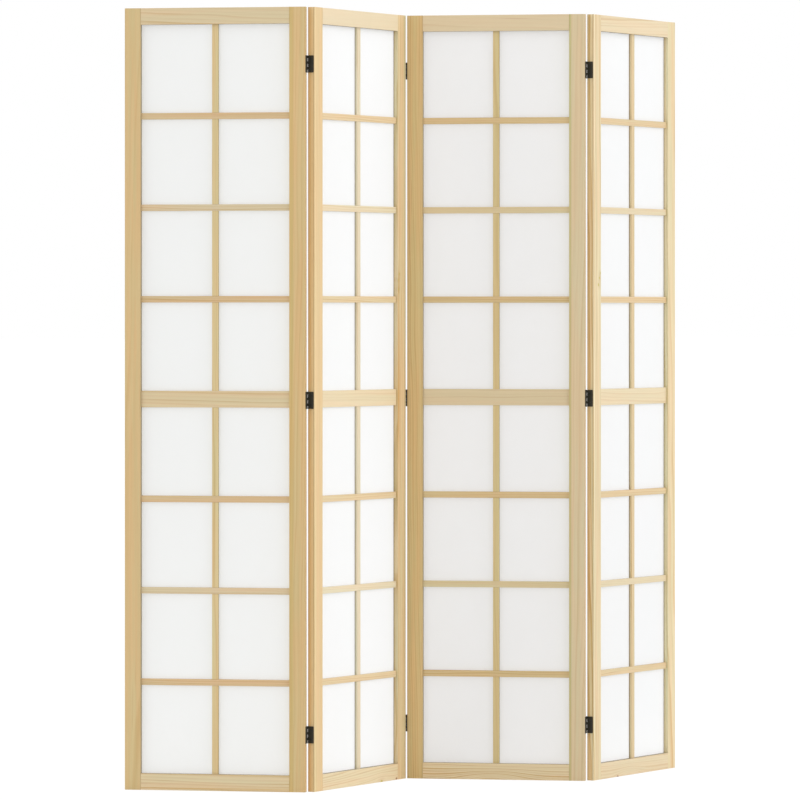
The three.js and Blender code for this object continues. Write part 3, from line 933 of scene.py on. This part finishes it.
def hinge_material(name, paint, wear, gloss, axis=None, knuckle_highlight=0.0):
    """Black satin paint on pressed steel, scuffed through to grey steel along its corners. The
    knuckles round a given axis are darker and browner, and may carry a painted highlight of bare
    steel where they face the front."""
    material, net, output = new_material(name)
    place = net.add("ShaderNodeTexCoord").outputs["Object"]
    fine = net.noise(net.vector("DIVIDE", place, (PAINT_GRAIN * MM,) * 3), 2.0, detail=3.0)
    cloudy = net.noise(net.vector("DIVIDE", place, (PAINT_CLOUD * MM,) * 3), 5.0, detail=3.0)
    corner = net.add("ShaderNodeBevel", {"Radius": RUBBED_REACH * MM}, samples=4).outputs[0]
    flat = net.add("ShaderNodeNewGeometry").outputs["Normal"]
    edge = net.between(net.math("SUBTRACT", 1.0, net.dot(corner, flat)), *RUBBED_START)
    wear_and_glint = net.product(edge, net.between(cloudy, *RUBBED_PATCHES), wear)
    darker = shaded(linear(paint), PAINT_CLOUDS[0])
    paler = shaded(linear(paint), PAINT_CLOUDS[1])
    colour = net.mix(cloudy, darker, paler)
    if axis:
        from_axis = net.vector("SUBTRACT", place, (*axis, 0))
        outwards = net.vector("DIVIDE", from_axis, (BARREL_RADIUS * MM,) * 3)
        aside, forwards, _ = net.split(outwards)
        on_barrel = net.between(net.length(net.join(aside, forwards, 0.0)), *BARREL_END)
        off_barrel = net.math("SUBTRACT", 1.0, on_barrel)
        colour = net.times(colour, DARKER_BARREL, on_barrel)
        # A painted highlight of bare steel on the knuckles, where they face the front
        facing = net.product(on_barrel, net.between(forwards, *BARREL_FRONT))
        knuckle_glint = net.product(facing, knuckle_highlight)
        wear_and_glint = net.math("MAXIMUM", net.product(wear_and_glint, off_barrel), knuckle_glint)
    colour = net.mix(wear_and_glint, colour, linear(STEEL_WEAR_AND_GLINT))
    rough = net.between(fine, 0.25, 0.75, gloss - 0.06, gloss + 0.08)
    inputs = {
        "Base Color": colour,
        "Metallic": net.product(wear_and_glint, 0.9),
        "Roughness": net.total(rough, net.product(cloudy, 0.06)),
        "Specular IOR Level": PAINT_SHEEN,
        "Normal": bumped(net, fine, PAINT_RELIEF),
    }
    shader = net.add("ShaderNodeBsdfPrincipled", inputs)
    net.put(output.inputs["Surface"], shader.outputs[0])
    return material


def paint_hinges():
    pin = hinge_material("pin_black_paint", BLACK_PAINT, 0.7, 0.30)
    leaves = {}
    for joint in frame["joints"]:
        hinge = "hinge" + joint["name"].removeprefix("fold")
        axis = joint["pos_m"][:2]
        # The left leaves' knuckles carry a painted highlight of bare steel
        for side, wear in (("left", KNUCKLE_HIGHLIGHT.get(hinge, 0)), ("right", 0)):
            name = f"{hinge}_{side}_paint"
            leaves[hinge, side] = hinge_material(name, BLACK_PAINT, 0.5, 0.36, axis, wear)
    for node in frame["nodes"]:
        if node.endswith("_pin"):
            repaint(node, pin)
        elif "_leaf_" in node:
            hinge, panel = node[:len("hinge_12")], node[-1]
            repaint(node, leaves[hinge, "left" if panel == hinge[-2] else "right"])


def cross_outline(scale):
    """The twelve corners of a driver cross."""
    arm, reach = CROSS_ARM * scale, CROSS_REACH * scale
    quarter = [(reach, -arm), (reach, arm), (arm, arm)]
    points = []
    for turn in range(4):
        c, s = math.cos(turn * math.pi / 2), math.sin(turn * math.pi / 2)
        points += [(c * x - s * y, s * x + c * y) for x, y in quarter]
    return points


def add_screw(shape, place):
    """A countersunk cross-head screw, its head's face on z = 0 and its shank along -z, put in its
    place by a matrix."""

    def point(x, y, z):
        return shape.verts.new(place @ Vector((x, y, z)))

    def ring(radius, z):
        angles = [2 * math.pi * i / SCREW_SEGMENTS for i in range(SCREW_SEGMENTS)]
        return [point(radius * math.cos(a), radius * math.sin(a), z) for a in angles]

    def skirt(upper, lower):
        for i in range(len(upper)):
            j = (i + 1) % len(upper)
            shape.faces.new((upper[i], upper[j], lower[j], lower[i]))

    rings = [
        ring(SCREW_HEAD_RADIUS - SCREW_HEAD_EDGE, 0.0),
        ring(SCREW_HEAD_RADIUS, -SCREW_HEAD_EDGE),
        ring(SCREW_SHANK_RADIUS, -SCREW_HEAD_DEPTH),
        ring(SCREW_SHANK_RADIUS * SCREW_SHANK_TAPER, -SCREW_LENGTH + SCREW_POINT),
    ]
    for upper, lower in zip(rings, rings[1:]):
        skirt(upper, lower)
    tip = point(0, 0, -SCREW_LENGTH)
    last = rings[-1]
    for i in range(SCREW_SEGMENTS):
        shape.faces.new((last[i], last[(i + 1) % SCREW_SEGMENTS], tip))
    mouth = [point(x, y, 0) for x, y in cross_outline(1.0)]
    bed = [point(x, y, -CROSS_DEPTH) for x, y in cross_outline(CROSS_TAPER)]
    skirt(mouth, bed)
    shape.faces.new(bed)
    edges = []
    for loop in (rings[0], mouth):
        for a, b in zip(loop, loop[1:] + loop[:1]):
            edges.append(shape.edges.get((a, b)) or shape.edges.new((a, b)))
    bmesh.ops.triangle_fill(shape, edges=edges, use_beauty=True)
    bmesh.ops.recalc_face_normals(shape, faces=shape.faces)


def spin(node, step):
    """How far a screw's cross happens to be turned."""
    return noise.noise(Vector((sum(map(ord, node)) * SPIN_STEP, step, 0.5))) * math.pi


def fit_screws(material):
    """Two screws in each hinge leaf, let into its countersunk holes."""
    for node in sorted(frame["nodes"]):
        if "_leaf_" not in node:
            continue
        number = int(node[-1])
        low, high = box_in_panel(node, number)
        outwards = 1 if low.x > 0 else -1
        # The knuckles are at the end of the leaf that is further from the middle of the thickness.
        axis_y, free_y = (low.y, high.y) if abs(low.y) > abs(high.y) else (high.y, low.y)
        inwards = 1 if free_y > axis_y else -1
        neck = axis_y + inwards * (BARREL_RADIUS * 2 + KNUCKLE_GAP)
        middle_y = (neck + free_y) / 2
        edge = PANEL_HALF_WIDTH + SEAT_GAP + LEAF_THICKNESS - SCREW_SINK
        middle_z = (low.z + high.z) / 2
        shape = bmesh.new()
        for step in (-0.5, 0.5):
            spot = Vector((outwards * edge, middle_y, middle_z + step * SCREW_SPACING)) * MM
            turn = Matrix.Rotation(outwards * math.pi / 2, 4, "Y")
            twist = Matrix.Rotation(spin(node, step), 4, "Z")
            place = PLACE[number] @ Matrix.Translation(spot) @ turn @ twist @ Matrix.Scale(MM, 4)
            add_screw(shape, place)
        piece = finish_mesh("screws_" + node.removeprefix("hinge_"), shape, material)
        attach(piece, f"panel_{number}")


# ---- stage, light and camera ---------------------------------------------------------------------

WHITE = (1, 1, 1, 1)
AMBIENT = 0.67
LAMPS = {  # angle round from +X and above the floor, width, strength
    "key_light": (-45, 24, 60, 0.97),
    "left_light": (170, 22, 50, 0.42),
    "back_light": (90, 30, 60, 1.10),
}
LAMP_DISTANCE = 5
FLOOR_SIZE = 400
FLOOR_GLOW = 0.92  # what the floor shows by itself, as in a white studio
FLOOR_SHADOW_SHARE = 0.13  # what it adds to that where no shadow falls

CAMERA_PLACE = (-5.1714, -10.8634, 1.0339)
CAMERA_HEADING = -25.168
CAMERA_LENS = 244.886
CAMERA_SENSOR = 36
CAMERA_SHIFT_Y = -0.1069
CAMERA_SIGHT = 1000


def seen_directly(net):
    """1 for the rays that show the backdrop itself: straight, in a reflection or through glass."""
    path = net.add("ShaderNodeLightPath").outputs
    seen = net.math("MAXIMUM", path["Is Camera Ray"], path["Is Glossy Ray"])
    return net.math("MAXIMUM", seen, path["Is Transmission Ray"])


def make_world():
    world = bpy.data.worlds.new("studio")
    bpy.context.scene.world = world
    world.use_nodes = True
    world.node_tree.nodes.clear()
    net = Net(world.node_tree)
    strength = net.between(seen_directly(net), 0, 1, AMBIENT, 1.0, smooth=False)
    light = net.add("ShaderNodeBackground", {"Color": WHITE, "Strength": strength})
    net.put(net.add("ShaderNodeOutputWorld").inputs["Surface"], light.outputs[0])


def make_floor():
    """A plain floor: pale for the light that it throws, nearly white with a faint shadow where it
    is seen, and clear from below."""
    shape = bmesh.new()
    half = FLOOR_SIZE / 2
    corners = ((-half, -half), (half, -half), (half, half), (-half, half))
    shape.faces.new([shape.verts.new((x, y, 0)) for x, y in corners])
    material, net, output = new_material("studio_floor")
    plain = net.add("ShaderNodeBsdfDiffuse", {"Color": linear(FLOOR_GREY)}).outputs[0]
    faint = net.add("ShaderNodeBsdfDiffuse", {"Color": (*(FLOOR_SHADOW_SHARE,) * 3, 1)}).outputs[0]
    glow = net.add("ShaderNodeEmission", {"Color": WHITE, "Strength": FLOOR_GLOW}).outputs[0]
    white = net.add("ShaderNodeAddShader", {0: faint, 1: glow}).outputs[0]
    top = net.add("ShaderNodeMixShader", {0: seen_directly(net), 1: plain, 2: white}).outputs[0]
    below = net.add("ShaderNodeNewGeometry").outputs["Backfacing"]
    clear = net.add("ShaderNodeBsdfTransparent").outputs[0]
    surface = net.add("ShaderNodeMixShader", {0: below, 1: top, 2: clear})
    net.put(output.inputs["Surface"], surface.outputs[0])
    floor = finish_mesh("floor", shape, material)


def make_lamp(name, azimuth, elevation, spread, strength):
    """A far, wide soft light, at an angle round from +X and above the floor, in degrees."""
    light = bpy.data.lights.new(name, "SUN")
    light.angle = math.radians(spread)
    light.energy = strength
    lamp = bpy.data.objects.new(name, light)
    a, e = math.radians(azimuth), math.radians(elevation)
    away = Vector((math.cos(a) * math.cos(e), math.sin(a) * math.cos(e), math.sin(e)))
    lamp.rotation_euler = away.to_track_quat("Z", "Y").to_euler()
    lamp.location = away * LAMP_DISTANCE
    bpy.context.scene.collection.objects.link(lamp)


def make_camera():
    data = bpy.data.cameras.new("camera")
    data.sensor_width = CAMERA_SENSOR
    data.lens = CAMERA_LENS
    data.shift_y = CAMERA_SHIFT_Y
    data.clip_end = CAMERA_SIGHT
    camera = bpy.data.objects.new("camera", data)
    camera.location = CAMERA_PLACE
    camera.rotation_euler = (math.pi / 2, 0, math.radians(CAMERA_HEADING))
    bpy.context.scene.collection.objects.link(camera)
    bpy.context.scene.camera = camera


make_camera()
make_world()
make_floor()
for name, (azimuth, elevation, spread, strength) in LAMPS.items():
    make_lamp(name, azimuth, elevation, spread, strength)
paint_wood()
hang_paper()
paint_hinges()
fit_screws(hinge_material("screw_black_paint", SCREW_BLACK, 0.8, 0.32))
bpy.context.scene.view_settings.view_transform = "Standard"
